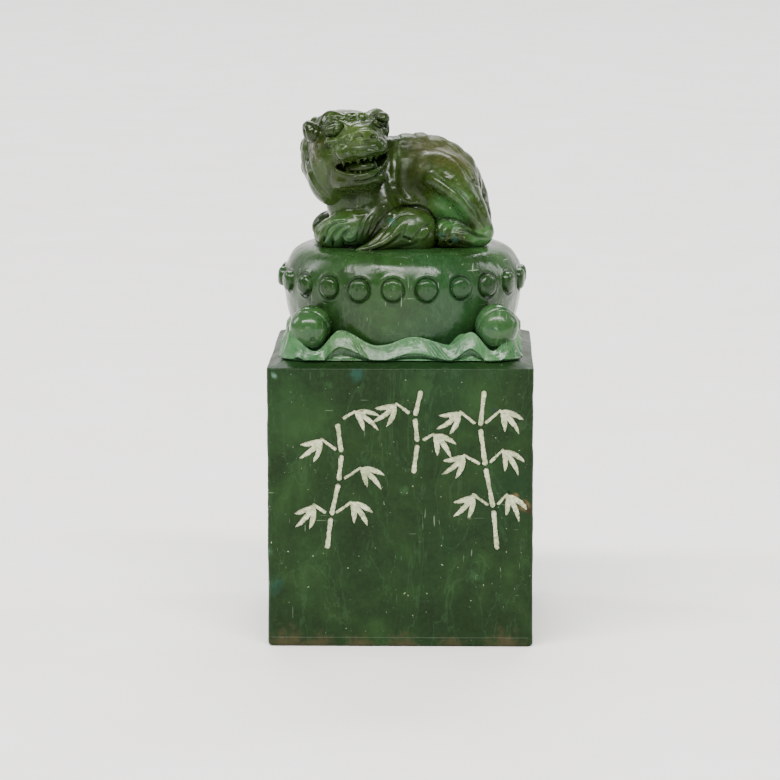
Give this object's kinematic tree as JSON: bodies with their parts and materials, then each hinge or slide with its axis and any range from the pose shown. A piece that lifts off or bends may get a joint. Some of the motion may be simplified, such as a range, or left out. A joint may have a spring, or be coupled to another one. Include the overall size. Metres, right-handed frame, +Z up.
{
  "type": "seal stamp",
  "caption": "Square carved stone seal with an incised spray, a fret seal face and a knob of a crouching lion on a nailed drum in a rippled skirt.",
  "frame": {"origin": "centre of the seal face, on the surface that the seal stands on", "axes": "+Z up through the knob, +X to the viewer's right, the incised front face looks towards -Y"},
  "size_m": [0.036, 0.036, 0.0719],
  "materials": {
    "block_stone": "polished, mottled green, worn arrises",
    "base_stone": "polished, mottled green with fine scratches",
    "lion_stone": "polished, darker olive green",
    "fill_paste": "dry pale paste"
  },
  "bodies": {
    "root": {"seal_block": "block_stone", "seal_face": "block_stone", "ornament_fill": "fill_paste", "wave_skirt_front": "base_stone", "wave_skirt_right": "base_stone", "wave_skirt_rear": "base_stone", "wave_skirt_left": "base_stone", "corner_ball_front_left": "base_stone", "corner_ball_front_right": "base_stone", "corner_ball_rear_right": "base_stone", "corner_ball_rear_left": "base_stone", "drum": "base_stone", "drum_nails": "base_stone", "lion_torso": "lion_stone", "left_hind_leg": "lion_stone", "right_hind_leg": "lion_stone", "left_fore_leg": "lion_stone", "right_fore_leg": "lion_stone", "lion_chest": "lion_stone", "lion_head": "lion_stone", "upper_jaw": "lion_stone", "lower_jaw": "lion_stone", "tongue": "lion_stone", "teeth": "lion_stone", "nose": "lion_stone", "eyes": "lion_stone", "brows": "lion_stone", "ears": "lion_stone", "mane": "lion_stone", "mane_curls": "lion_stone", "spine_crest": "lion_stone", "lion_tail": "lion_stone", "tail_plume": "lion_stone"}
  },
  "joints": []
}
